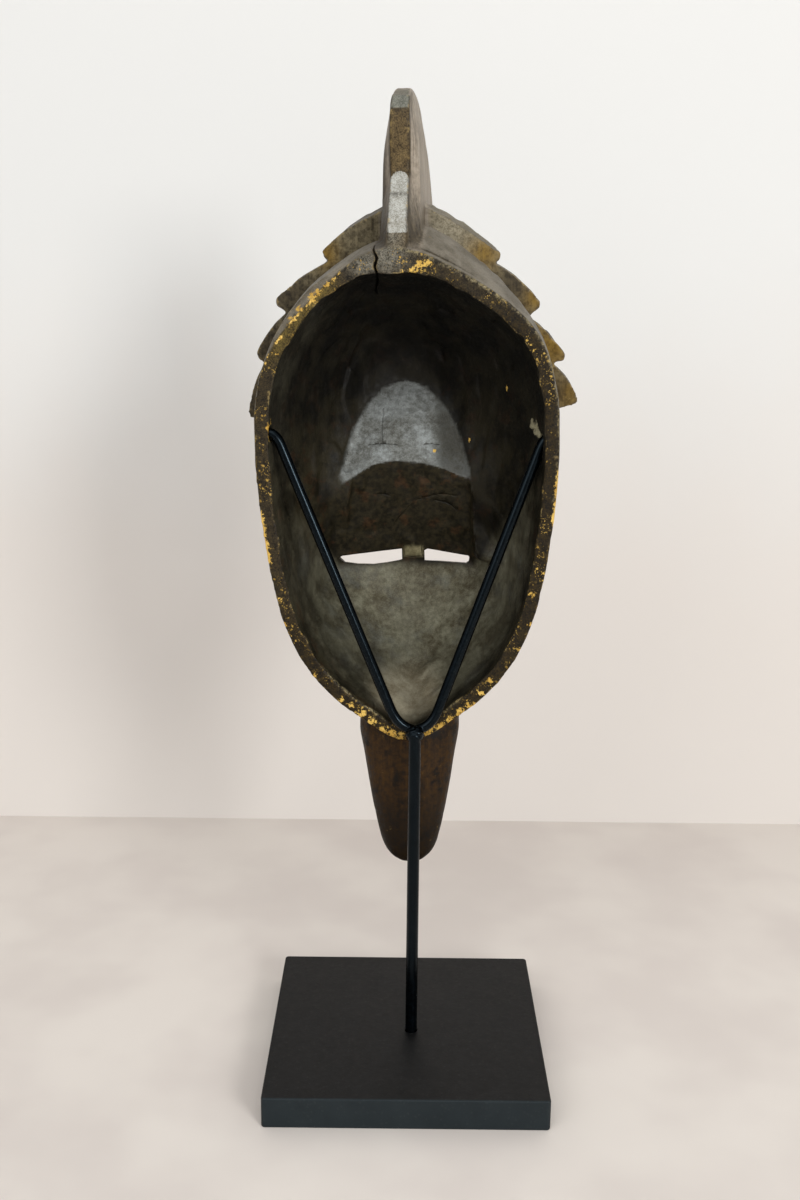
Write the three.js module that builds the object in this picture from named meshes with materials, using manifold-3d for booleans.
// A carved wooden face mask on its display stand: a deep bowl of a mask with a tall fin over the
// crown, a saw-toothed crest on each side of it, slit eyes, a long nose and a beard, held from
// behind by a forked steel rod on a square black base. Millimetres, +Z up, the face looks along -Y.
// The origin is the middle of the base's underside.
import * as THREE from 'three';
import { mergeVertices } from 'three/addons/utils/BufferGeometryUtils.js';
import Module from 'manifold-3d';

const wasm = await Module();
wasm.setup();

// Base and rod
const BASE_SIDE = 150;
const BASE_THICK = 17;
const BASE_ARRIS = 1;
const ROD_RADIUS = 3.3;
const ROD_SEGMENTS = 16;
const ROD_X = -2.9;
const ROD_Y = 8;
const SOCKET_DEPTH = 11;
const GAP = 0.3;

// Fork: its V stands just behind the rim and its hooks enter holes in the mask's side walls
const FORK_BOTTOM_Y = 4.2;
const FORK_BOTTOM_Z = 193.5;
const ARM_RADIUS = 2.8;
const FORK_BEND = { rise: 12, lean: 0.8, roundness: 0.075 };
const FORK_STEPS = 64;
const BAR_SEGMENTS = 6;
const HOOK_DEPTH = 8;
const HOOK_Z = 350;
const HOOKS = [
  { side: 1, bendX: 71, tipX: 76, footX: 13.5 },
  { side: -1, bendX: 68.2, tipX: 74, footX: 12.6 },
];
const HOOK_BEND_SHARE = 0.75;
const ARM_BEND_SHARE = 0.05;
const HOLE = { gap: 0.9, beyondTip: 0.3, alongArm: 0.25, steps: 24 };
const WELD = { radius: 4.8, width: 1.1, y: 6.7, below: 1.5 };

// The mask's own frame: x to its left hand, y backwards, z up from the lowest point of the rim
const MASK_FOOT = new THREE.Vector3(0.7, 0, 185.7);
const MASK_TURN = THREE.MathUtils.degToRad(-2);
const MASK_LEAN = THREE.MathUtils.degToRad(0.96);
const RIM_HALF_OUTLINE = [
  [26, 13], [50, 35], [66, 66], [75, 111], [78.5, 155], [76, 190], [64, 219], [37, 243],
];
const RIM_HEIGHT = 258;
const RIM_PEAK_SHIFT = 6.5;
const RIM_SHIFT_START_Z = 220;
const RIM_WALL = 7.5;
const RIM_PEAK_WALL = 13.2;
const RIM_PEAK_WIDTH = 17;
const RIM_COLUMNS = 54;

// Shell: each ring of the bowl's outside shrinks as cos^width and lies deeper as sin^bulge of one angle,
// with values for the sides, the crown and the chin
const SHELL_CENTRE_Z = 120;
const SHELL_RINGS = 12;
const SHELL_SIDE = { width: 0.42, bulge: 1, depth: 62 };
const SHELL_CROWN = { width: 0.75, bulge: 0.9, depth: 74 };
const SHELL_CHIN = { width: 0.7, bulge: 1, depth: 60 };
const CROWN_SWELL = { most: 0.26, middle: 0.75, least: 0.5, fadeX: 40 };

// Hollow: it narrows from the rim to an arch-shaped floor, whose flat foot is the line of the eyes
const HOLLOW = {
  depth: 80, sideDepth: 53, curve: 0.005, rings: 9, centreX: 1.5, centreZ: 122, walls: 0.75,
};
const HOLLOW_MOUTH_Y = 5;
const FLOOR_ARCH = { centreX: 2.8, halfWidth: 38.7, footZ: 82, topZ: 187, shoulderZ: 130, sides: 0.55 };
const ARCH_HALVINGS = 20;
const NICHE_ROWS = 12;
const NICHE_MOUTH = 30;
const BROW_DEPTH = 55;
const BROW_COLUMNS = 48;
const BROW_LINE = [
  [-70, 90], [-44, 91], [-37, 96], [-35.4, 115], [-33.8, 130], [-31.5, 135], [-27.5, 136.6], [-22, 138.6],
  [-16.5, 141], [-11, 142.6], [-2.3, 144], [5.5, 144.6], [13.5, 144.2], [22, 141.6], [27.5, 138.6],
  [31, 136.2], [35, 133.5], [39, 130.5], [46, 122], [70, 108],
];
const BROW_TOE = { root: [5, -10], toe: [-0.5, 4] };
const BROW_EDGE = { below: [1.5, -4], above: [2, 3.5] };
const BROW_DOME = { foot: [1, 1], top: [20, 30] };

// Pillar: the wood left standing beside the undercut on the left, its inner edge as [z, x] from the eyes up
const PILLAR_EDGE = [
  [80, 42], [88, 41.2], [92, 40.2], [96, 38.8], [108, 35.6],
  [115, 34.8], [124, 33.6], [130, 32.8], [138, 32.2],
];
const PILLAR = { behindWall: 0.5, bevel: 1, front: 100, outerX: 60 };

// Face: rows of the carved front from chin to crown, each [z, depth, half width, arch, side fall, squareness]
const FACE_ROWS = [
  [3, 38, 10, 0, 10, 2.6],
  [8, 51, 15, 0, 20, 2.8],
  [17, 64, 23, 0, 28, 3],
  [32, 76, 35, 0, 36, 3.4],
  [54, 85, 49, 0, 44, 4.2],
  [78, 90, 58, 0, 48, 5],
  [86, 91, 60, 0, 48, 5],
  [100, 87, 63, 3, 43, 4.6],
  [130, 77, 65, 13, 34, 4],
  [135, 92, 65, 14, 46, 3.4],
  [142, 99, 65, 14, 52, 3],
  [156, 103, 64, 12, 56, 2.8],
  [174, 102, 60, 9, 56, 2.6],
  [192, 97, 54, 6, 54, 2.5],
  [208, 88, 45, 4, 48, 2.4],
  [222, 75, 34, 2, 38, 2.3],
  [234, 56, 18, 0, 18, 2.2],
];
const FACE_COLUMNS = 18;
const FACE_BACK = { depthShare: 0.42, widthShare: 0.8 };

// Nose: rows from nostrils to brow, each [z, depth, half width, half width of the ridge]
const NOSE_ROWS = [
  [49, 90, 3, 1],
  [51, 105, 11, 4.5],
  [56, 108, 11.5, 4.5],
  [66, 105, 8.5, 3.5],
  [95, 101, 6.5, 2.8],
  [125, 99, 5.8, 2.6],
  [140, 99, 5.5, 2.6],
  [150, 94, 4, 2],
];
const NOSE_BACK_DEPTH = 70;
const NOSE_FLANK = 9;

const LIPS = [{ z: 38.5, depth: 88 }, { z: 28.8, depth: 84.5 }];
const LIP_SIZE = [16, 19, 5.4];

// Eye slits: their corners [x, z] at the hollow's depth, from the nose outwards along the foot and back
const SLITS = [
  [[5.6, 83.2], [14.7, 81.6], [22.6, 80.6], [31.7, 80.9], [39.2, 82.2], [42, 85.1], [40, 86.4], [5.6, 90.4]],
  [
    [-7.4, 82.8], [-16, 82.5], [-24.5, 81.9], [-31.8, 81.5], [-33.4, 82.6],
    [-33.8, 85.2], [-33, 86.4], [-9.4, 90.4], [-7.2, 89.2],
  ],
];
const SLIT_FALL = 0.14;
const SLIT_DEPTHS = [50, 120];

// Fin: its outline in depth and height, clockwise from the back of the rim
const FIN_BACK = [[0.5, 250], [0.5, 265], [17, 296], [16, 322]];
const FIN_CROWN = [
  [22, 332], [34, 337], [50, 337], [66, 331], [81, 316],
  [93, 294], [100, 269], [103, 241], [101, 216], [94, 197],
];
const FIN_HEART = [56, 205];
const FIN_SHARES = [0.4, 0.8, 0.9, 1];
const FIN_HALF = { back: 4.9, crown: 5.2, base: 10.5, top: 8, power: 1.2 };
const FIN_CROWN_DEPTHS = [18, 30];
const FIN_TOP_Z = 337;
const FIN_BASE_Z = 262;
const FIN_BEVEL_START = 0.8;
const FIN_X = 4.5;
const FIN_TURN = THREE.MathUtils.degToRad(-4.8);

// Saw-toothed crest: tips, and the notch under each, from the fin down to the temple on each side
const CRESTS = [
  {
    side: 1,
    tips: [[45, 258], [70.2, 233], [81, 205], [86.5, 174]],
    notches: [[41.5, 252.3], [64.4, 226.3], [77, 200], [68, 165]],
  },
  {
    side: -1,
    tips: [[48.4, 256.4], [70, 230.7], [83.1, 203.2], [90.7, 180.4]],
    notches: [[44.7, 252.2], [63.7, 223.4], [76.4, 199.2], [68, 172]],
  },
];
const CREST_START = [4, 284];
const CREST_INNER = [[48, 185], [30, 215], [4, 232]];
const CREST_DEPTHS = [37, 50];
const CREST_SLOPES = { 1: { drop: 3.5, near: 0, far: 50 }, '-1': { drop: 3.2, near: 34, far: 56 } };
const CREST_SLOPE_HEIGHTS = [240, 254];
const TOOTH_BOWS = [4, 2.2, 2.2, 2.2];
const TOOTH_BLUNT = [0.6, 3.2];

// Beard: rows [z, half width, back depth, front depth]
const BEARD_ROWS = [
  [26, 22, 22, 66],
  [12, 27, 11, 62],
  [0, 28, 8.5, 52],
  [-18, 24.9, 8.5, 44],
  [-38, 21.6, 9, 38],
  [-56, 18, 10, 34],
  [-67, 15.3, 11.5, 31],
  [-74, 11.5, 14, 28],
  [-78, 6, 17.5, 24.5],
];
const BEARD_COLUMNS = 18;
const BEARD_SQUARENESS = 0.8;

const WOOD = { color: 0x2c231b, roughness: 0.6, metalness: 0 };
const STEEL = { color: 0x0d0e10, roughness: 0.35, metalness: 0.3 };
const BLACK_BOARD = { color: 0x17181a, roughness: 0.7, metalness: 0 };

/** A closed solid's geometry from a stack of closed rings, each a list of [x, y, z], capped at both ends. */
function ringStack(rings) {
  const count = rings[0].length;
  const positions = rings.flat(2);
  const middle = (ring) => [0, 1, 2].map((axis) => ring.reduce((sum, point) => sum + point[axis], 0) / count);
  positions.push(...middle(rings[0]), ...middle(rings[rings.length - 1]));
  const firstCap = rings.length * count;
  const lastCap = firstCap + 1;
  const lastRow = (rings.length - 1) * count;
  const faces = [];
  for (let column = 0; column < count; column++) {
    const next = (column + 1) % count;
    faces.push(firstCap, next, column, lastCap, lastRow + column, lastRow + next);
    for (let row = 0; row < lastRow; row += count) {
      faces.push(row + column, row + next, row + count + next);
      faces.push(row + column, row + count + next, row + count + column);
    }
  }
  const geometry = new THREE.BufferGeometry();
  geometry.setAttribute('position', new THREE.Float32BufferAttribute(positions, 3));
  geometry.setIndex(signedVolume(positions, faces) < 0 ? faces.reverse() : faces);
  return geometry;
}

/** Six times the signed volume inside a list of triangles: negative when the faces point inwards. */
function signedVolume(positions, faces) {
  const corner = (index) => new THREE.Vector3().fromArray(positions, 3 * index);
  let sum = 0;
  for (let i = 0; i < faces.length; i += 3) {
    sum += corner(faces[i]).dot(corner(faces[i + 1]).cross(corner(faces[i + 2])));
  }
  return sum;
}

/** The same closed geometry as a solid that can be joined and cut. */
function solid(geometry) {
  const bare = geometry.clone();
  bare.deleteAttribute('normal');
  bare.deleteAttribute('uv');
  const merged = mergeVertices(bare, 1e-4);
  return new wasm.Manifold(new wasm.Mesh({
    numProp: 3,
    vertProperties: new Float32Array(merged.attributes.position.array),
    triVerts: new Uint32Array(merged.index.array),
  }));
}

/** A solid back as a geometry that a mesh can carry. */
function geometryOf(manifold) {
  const mesh = manifold.getMesh();
  const geometry = new THREE.BufferGeometry();
  geometry.setAttribute('position', new THREE.BufferAttribute(mesh.vertProperties, 3));
  geometry.setIndex(new THREE.BufferAttribute(mesh.triVerts, 1));
  geometry.computeVertexNormals();
  return geometry;
}

const joined = (...geometries) => geometries.map(solid).reduce((whole, piece) => whole.add(piece));

/** 0 below low, 1 above high, and a smooth rise between. */
const rise = (value, low, high) => THREE.MathUtils.smoothstep(value, low, high);

/** A smooth curve through [x, z] points in the plane of the rim. */
function smoothCurve(points, closed) {
  const inPlane = points.map(([x, z]) => new THREE.Vector3(x, 0, z));
  return new THREE.CatmullRomCurve3(inPlane, closed, 'catmullrom', 0.5);
}

/** The rim's outer outline, from its lowest point up the left side, over the peak and down the right. */
function rimCurve() {
  const rightSide = RIM_HALF_OUTLINE.map(([x, z]) => [-x, z]).reverse();
  const upright = [[0, 0], ...RIM_HALF_OUTLINE, [0, RIM_HEIGHT], ...rightSide];
  return smoothCurve(upright.map(([x, z]) => [x + peakShift(z), z]), true);
}

/** The rim's top leans to the mask's left by this much at a height. */
function peakShift(z) {
  return RIM_PEAK_SHIFT * rise(z, RIM_SHIFT_START_Z, RIM_HEIGHT);
}

/** Points of the rim's outline, or of its inner edge: the wall is thickest at the peak. */
function rimPoints(inwards) {
  const curve = rimCurve();
  const points = [];
  for (let column = 0; column < RIM_COLUMNS; column++) {
    const point = curve.getPoint(column / RIM_COLUMNS);
    const along = curve.getTangent(column / RIM_COLUMNS);
    const fromPeak = Math.hypot(point.x - RIM_PEAK_SHIFT, point.z - RIM_HEIGHT) / RIM_PEAK_WIDTH;
    const wall = inwards ? RIM_WALL + (RIM_PEAK_WALL - RIM_WALL) * Math.exp(-fromPeak * fromPeak) : 0;
    points.push([point.x - along.z * wall, point.z + along.x * wall]);
  }
  return points;
}

/** The bowl's outside: rings that shrink and deepen from the rim, swollen on the crown's right side. */
function shellBlank() {
  const outline = rimPoints(false);
  const rings = [];
  for (let ring = 0; ring <= SHELL_RINGS; ring++) {
    const angle = (ring / (SHELL_RINGS + 0.5)) * Math.PI / 2;
    rings.push(outline.map(([x, z]) => {
      const dz = z - SHELL_CENTRE_Z;
      const upright = (dz * dz) / (x * x + dz * dz);
      const end = dz > 0 ? SHELL_CROWN : SHELL_CHIN;
      const blend = (key) => THREE.MathUtils.lerp(SHELL_SIDE[key], end[key], upright);
      const { most, middle, least, fadeX } = CROWN_SWELL;
      const lopsided = THREE.MathUtils.clamp(middle - x / fadeX, least, 1);
      const swell = dz > 0 ? most * lopsided * upright ** 3 * Math.sin(2 * angle) : 0;
      const share = Math.cos(angle) ** blend('width') * (1 + swell);
      return [x * share, -blend('depth') * Math.sin(angle) ** blend('bulge'), SHELL_CENTRE_Z + dz * share];
    }));
  }
  return ringStack(rings);
}

/** Half the width of the floor's arch at a height. */
function archHalf(z) {
  const { halfWidth, footZ, topZ, sides } = FLOOR_ARCH;
  const height = THREE.MathUtils.clamp((z - footZ) / (topZ - footZ), 0, 1);
  return halfWidth * (1 - height ** 3) ** sides;
}

/** How far the floor's arch lies from the hollow's centre in one direction, as a share of that direction. */
function archReach(dx, dz) {
  let [near, far] = [0, 1];
  for (let halving = 0; halving < ARCH_HALVINGS; halving++) {
    const middle = (near + far) / 2;
    const x = HOLLOW.centreX + dx * middle;
    const z = HOLLOW.centreZ + dz * middle;
    const inside = z > FLOOR_ARCH.footZ && Math.abs(x - FLOOR_ARCH.centreX) < archHalf(z);
    [near, far] = inside ? [middle, far] : [near, middle];
  }
  return near;
}

/** How deep the hollow's wall meets the floor's arch: deep at its foot and top, less at its sides. */
function archDepth(x, z) {
  const { footZ, shoulderZ, topZ } = FLOOR_ARCH;
  const sides = Math.min(rise(z, footZ, shoulderZ), 1 - rise(z, shoulderZ, topZ));
  const floor = HOLLOW.depth - HOLLOW.curve * x * x;
  return THREE.MathUtils.lerp(floor, Math.min(floor, HOLLOW.sideDepth), sides);
}

/** The hollow's walls, with a first ring behind the rim so that they open the bowl's back. */
function hollow() {
  const outline = rimPoints(true);
  const rings = [outline.map(([x, z]) => [x, HOLLOW_MOUTH_Y, z])];
  for (let ring = 0; ring <= HOLLOW.rings; ring++) {
    const angle = (ring / HOLLOW.rings) * Math.PI / 2;
    rings.push(outline.map(([x, z]) => {
      const [dx, dz] = [x - HOLLOW.centreX, z - HOLLOW.centreZ];
      const reach = archReach(dx, dz);
      const share = THREE.MathUtils.lerp(1, reach, (1 - Math.cos(angle)) ** HOLLOW.walls);
      const depth = archDepth(dx * reach, HOLLOW.centreZ + dz * reach);
      return [HOLLOW.centreX + dx * share, -depth * Math.sin(angle), HOLLOW.centreZ + dz * share];
    }));
  }
  return ringStack(rings);
}

/** The niche that the arch sinks into the hollow's floor, down to the floor's full depth. */
function niche() {
  const { centreX, footZ, topZ } = FLOOR_ARCH;
  const heights = Array.from({ length: NICHE_ROWS }, (_, row) => (1 - (1 - row / NICHE_ROWS) ** 2));
  const side = (sign) => heights.map((height) => {
    const z = THREE.MathUtils.lerp(footZ, topZ, height);
    return new THREE.Vector2(centreX + sign * archHalf(z), z);
  });
  const arch = new THREE.Shape([...side(1), new THREE.Vector2(centreX, topZ), ...side(-1).reverse()]);
  const block = new THREE.ExtrudeGeometry(arch, { depth: HOLLOW.depth - NICHE_MOUTH, bevelEnabled: false });
  block.rotateX(Math.PI / 2);
  block.translate(0, -NICHE_MOUTH, 0);
  return block;
}

/** The brow ridge that stands back from the hollow's floor: a wedge whose edge falls off at both ends. */
function browRidge() {
  const rings = smoothCurve(BROW_LINE, false).getPoints(BROW_COLUMNS).map(({ x, z: edgeZ }) => {
    const floor = HOLLOW.depth - HOLLOW.curve * x * x;
    const at = (fromDepth, fromZ, [deeper, higher]) => [x, -fromDepth - deeper, fromZ + higher];
    return [
      at(floor, FLOOR_ARCH.footZ, BROW_TOE.root),
      at(floor, FLOOR_ARCH.footZ, BROW_TOE.toe),
      at(BROW_DEPTH, edgeZ, BROW_EDGE.below),
      [x, -BROW_DEPTH, edgeZ],
      at(BROW_DEPTH, edgeZ, BROW_EDGE.above),
      at(HOLLOW.depth, FLOOR_ARCH.topZ, BROW_DOME.foot),
      at(HOLLOW.depth, FLOOR_ARCH.topZ, BROW_DOME.top),
    ];
  });
  return ringStack(rings);
}

/** The pillar beside the undercut: its face is flush with the hollow's wall where that meets the arch. */
function pillar() {
  const { behindWall, bevel, front, outerX } = PILLAR;
  const { footZ, shoulderZ, halfWidth } = FLOOR_ARCH;
  const floor = HOLLOW.depth - HOLLOW.curve * halfWidth ** 2;
  return ringStack(PILLAR_EDGE.map(([z, x]) => {
    const face = THREE.MathUtils.lerp(floor, HOLLOW.sideDepth, rise(z, footZ, shoulderZ)) + behindWall;
    const innerEdge = [[x, -front, z], [x, -face - bevel, z], [x + bevel, -face, z]];
    return [...innerEdge, [outerX, -face, z], [outerX, -front, z]];
  }));
}

/** One row of the face: a level or arched curve across the front, closed behind inside the shell. */
function faceRing([z, depth, halfWidth, arch, fall, squareness]) {
  const ring = [];
  for (let column = 0; column <= FACE_COLUMNS; column++) {
    const across = Math.sin((2 * column / FACE_COLUMNS - 1) * Math.PI / 2);
    const frontDepth = depth - fall * Math.abs(across) ** squareness;
    ring.push([halfWidth * across, -frontDepth, z - arch * across * across]);
  }
  const { depthShare, widthShare } = FACE_BACK;
  for (const across of [1, 0, -1]) {
    ring.push([widthShare * halfWidth * across, -depthShare * depth, z - arch * across * across]);
  }
  return ring;
}

/** The nose: a narrow wedge with a flat ridge, widest at the nostrils. */
function nose() {
  return ringStack(NOSE_ROWS.map(([z, depth, halfWidth, ridgeHalf]) => [
    [-halfWidth, -NOSE_BACK_DEPTH, z],
    [-halfWidth, -(depth - NOSE_FLANK), z],
    [-ridgeHalf, -depth, z],
    [ridgeHalf, -depth, z],
    [halfWidth, -(depth - NOSE_FLANK), z],
    [halfWidth, -NOSE_BACK_DEPTH, z],
  ]));
}

/** One lip: a short roll whose ends and edges are rounded. */
function lip({ z, depth }) {
  const roll = new THREE.SphereGeometry(1, 16, 8);
  roll.rotateX(Math.PI / 2);
  roll.scale(...LIP_SIZE);
  roll.translate(0, LIP_SIZE[1] - depth, z);
  return roll;
}

/** An eye slit: its outline carried through the wall, falling forwards. */
function slit(corners) {
  return ringStack(SLIT_DEPTHS.map((depth) => {
    const drop = SLIT_FALL * (depth - HOLLOW.depth);
    return corners.map(([x, z]) => [x, -depth, z - drop]);
  }));
}

/** The fin: a blade over its outline, thick at its base, its flanks easing in towards the edge. */
function fin() {
  const crown = smoothCurve(FIN_CROWN, false).getPoints(2 * (FIN_CROWN.length - 1));
  const edge = [...FIN_BACK, ...crown.map((point) => [point.x, point.z]), FIN_HEART];
  const side = (share, sign) => edge.map(([edgeDepth, edgeZ]) => {
    const depth = THREE.MathUtils.lerp(FIN_HEART[0], edgeDepth, share);
    const z = THREE.MathUtils.lerp(FIN_HEART[1], edgeZ, share);
    const height = THREE.MathUtils.clamp((z - FIN_BASE_Z) / (FIN_TOP_Z - FIN_BASE_Z), 0, 1);
    const full = THREE.MathUtils.lerp(FIN_HALF.base, FIN_HALF.top, height ** FIN_HALF.power);
    const thin = THREE.MathUtils.lerp(FIN_HALF.back, FIN_HALF.crown, rise(edgeDepth, ...FIN_CROWN_DEPTHS));
    const half = THREE.MathUtils.lerp(full, thin, rise(share, FIN_BEVEL_START, 1));
    return [sign * half, -depth, z];
  });
  const leftSide = FIN_SHARES.map((share) => side(share, 1));
  const rightSide = FIN_SHARES.toReversed().map((share) => side(share, -1));
  const blade = ringStack([...leftSide, ...rightSide]);
  blade.rotateZ(FIN_TURN);
  blade.translate(FIN_X, 0, 0);
  return blade;
}

/** The crest of one side: a thick plate across the shell, with teeth that point down and out. */
function crest({ side, tips, notches }) {
  const outline = new THREE.Shape();
  outline.moveTo(side * CREST_START[0], CREST_START[1]);
  tips.forEach(([tipX, tipZ], tooth) => {
    const [startX, startZ] = tooth ? notches[tooth - 1] : CREST_START;
    const bow = [(startX + tipX) / 2 + TOOTH_BOWS[tooth], (startZ + tipZ) / 2 + TOOTH_BOWS[tooth]];
    outline.quadraticCurveTo(side * bow[0], bow[1], side * tipX, tipZ);
    outline.lineTo(side * (tipX - TOOTH_BLUNT[0]), tipZ - TOOTH_BLUNT[1]);
    outline.lineTo(side * notches[tooth][0], notches[tooth][1]);
  });
  for (const [x, z] of CREST_INNER) {
    outline.lineTo(side * x, z);
  }
  const [back, front] = CREST_DEPTHS;
  const plate = new THREE.ExtrudeGeometry(
    outline, { depth: front - back, bevelEnabled: false, curveSegments: 3 });
  lowerBackEdge(plate.attributes.position, CREST_SLOPES[side]);
  plate.rotateX(Math.PI / 2);
  plate.translate(0, -back, 0);
  return plate;
}

/** Lowers a crest plate's back edge beside the fin, so that its top slopes forwards and up. */
function lowerBackEdge(corners, { drop, near, far }) {
  for (let corner = 0; corner < corners.count; corner++) {
    const [across, height] = [Math.abs(corners.getX(corner)), corners.getY(corner)];
    const back = corners.getZ(corner) === 0 ? 1 : 0;
    const fall = drop * (1 - rise(across, near, far)) * rise(height, ...CREST_SLOPE_HEIGHTS);
    corners.setY(corner, height - back * fall);
  }
}

/** The beard: rounded rows that hang from the chin and taper to a blunt tip. */
function beard() {
  return ringStack(BEARD_ROWS.map(([z, halfWidth, back, front]) => {
    const ring = [];
    for (let column = 0; column < BEARD_COLUMNS; column++) {
      const turn = (column / BEARD_COLUMNS) * 2 * Math.PI;
      const squared = (value) => Math.sign(value) * Math.abs(value) ** BEARD_SQUARENESS;
      const depth = (back + front) / 2 + ((front - back) / 2) * squared(Math.sin(turn));
      ring.push([halfWidth * squared(Math.cos(turn)), -depth, z]);
    }
    return ring;
  }));
}

/** The blind hole in one side wall, in the mask's frame: the fork's hook there with room around it. */
function hookHole(hook, maskPlace) {
  const [[tip, start], bend, [armTop, foot]] = forkHalf(hook);
  const end = tip.clone().lerp(start, -HOLE.beyondTip);
  const path = curvePath([[end, start], bend, [armTop, armTop.clone().lerp(foot, HOLE.alongArm)]]);
  return bar(ARM_RADIUS + HOLE.gap, path, HOLE.steps).applyMatrix4(maskPlace.clone().invert());
}

/** The mask as one solid in its own frame: carved outside, hollow, eye slits and the fork's two holes. */
function maskGeometry(maskPlace) {
  const carved = joined(
    shellBlank(), ringStack(FACE_ROWS.map(faceRing)), nose(), ...LIPS.map(lip),
    ...CRESTS.map(crest), fin(), beard());
  const holes = HOOKS.map((hook) => hookHole(hook, maskPlace));
  const scooped = carved.subtract(joined(hollow(), niche()).subtract(joined(browRidge(), pillar())));
  const cuts = [...SLITS.map(slit), ...holes];
  return geometryOf(cuts.map(solid).reduce((whole, cut) => whole.subtract(cut), scooped));
}

/** Half of the fork as control points of four curves: hook, its bend, arm and half of the foot's bend. */
function forkHalf({ side, bendX, tipX, footX }) {
  const middle = new THREE.Vector3(ROD_X, FORK_BOTTOM_Y, FORK_BOTTOM_Z);
  const tip = new THREE.Vector3(side * tipX, -HOOK_DEPTH, HOOK_Z);
  const bend = new THREE.Vector3(side * bendX, -HOOK_DEPTH, HOOK_Z);
  const foot = new THREE.Vector3(
    ROD_X + side * footX, FORK_BOTTOM_Y - FORK_BEND.lean, FORK_BOTTOM_Z + FORK_BEND.rise);
  const hookStart = bend.clone().lerp(tip, HOOK_BEND_SHARE);
  const armTop = bend.clone().lerp(foot, ARM_BEND_SHARE);
  const corner = foot.clone().lerp(bend, -FORK_BEND.roundness);
  return [[tip, hookStart], [hookStart, bend, armTop], [armTop, foot], [foot, corner, middle]];
}

/** One path from lines, of two points each, and bends, of three. */
function curvePath(stretches) {
  const path = new THREE.CurvePath();
  path.curves.push(...stretches.map((points) => (points.length > 2
    ? new THREE.QuadraticBezierCurve3(...points)
    : new THREE.LineCurve3(...points))));
  return path;
}

/** A round bar along a path. */
function bar(radius, path, steps) {
  const section = new THREE.Shape();
  section.absarc(0, 0, radius, 0, 2 * Math.PI);
  return new THREE.ExtrudeGeometry(section, { steps, curveSegments: BAR_SEGMENTS, extrudePath: path });
}

/** The rod, the fork on its top and the weld between them, as one steel piece. */
function forkGeometry() {
  const [left, right] = HOOKS.map(forkHalf);
  const rightBack = right.toReversed().map((points) => points.toReversed());
  const fork = bar(ARM_RADIUS, curvePath([...left, ...rightBack]), FORK_STEPS);
  const footZ = BASE_THICK - SOCKET_DEPTH + GAP;
  const rodLength = FORK_BOTTOM_Z - footZ;
  const rod = new THREE.CylinderGeometry(ROD_RADIUS, ROD_RADIUS, rodLength, ROD_SEGMENTS);
  rod.rotateX(Math.PI / 2);
  rod.translate(ROD_X, ROD_Y, (FORK_BOTTOM_Z + footZ) / 2);
  const weld = new THREE.SphereGeometry(WELD.radius, 12, 8);
  weld.scale(WELD.width, 1, 1);
  weld.translate(ROD_X, WELD.y, FORK_BOTTOM_Z - WELD.below);
  return geometryOf(joined(fork, rod, weld));
}

/** The base: a square board with eased edges and a socket for the rod. */
function baseGeometry() {
  const half = BASE_SIDE / 2 - BASE_ARRIS;
  const square = new THREE.Shape([[-half, -half], [half, -half], [half, half], [-half, half]]
    .map(([x, y]) => new THREE.Vector2(x, y)));
  const board = new THREE.ExtrudeGeometry(square, {
    depth: BASE_THICK - 2 * BASE_ARRIS,
    bevelSize: BASE_ARRIS,
    bevelThickness: BASE_ARRIS,
    bevelSegments: 1,
  });
  board.translate(0, 0, BASE_ARRIS);
  const socketRadius = ROD_RADIUS + GAP;
  const socket = new THREE.CylinderGeometry(socketRadius, socketRadius, 2 * SOCKET_DEPTH, ROD_SEGMENTS);
  socket.rotateX(Math.PI / 2);
  socket.translate(ROD_X, ROD_Y, BASE_THICK);
  return geometryOf(solid(board).subtract(solid(socket)));
}

/** A named piece of the object with its plain finish. */
function piece(name, geometry, finish) {
  const mesh = new THREE.Mesh(geometry, new THREE.MeshStandardMaterial(finish));
  mesh.name = name;
  return mesh;
}

const placedMask = new THREE.Group();
placedMask.position.copy(MASK_FOOT);
placedMask.rotation.set(0, MASK_LEAN, MASK_TURN, 'ZYX');
placedMask.updateMatrix();
placedMask.add(piece('mask', maskGeometry(placedMask.matrix), WOOD));

const maskOnStand = new THREE.Group();
maskOnStand.add(
  placedMask,
  piece('fork_and_rod', forkGeometry(), STEEL),
  piece('base', baseGeometry(), BLACK_BOARD));

export default maskOnStand;
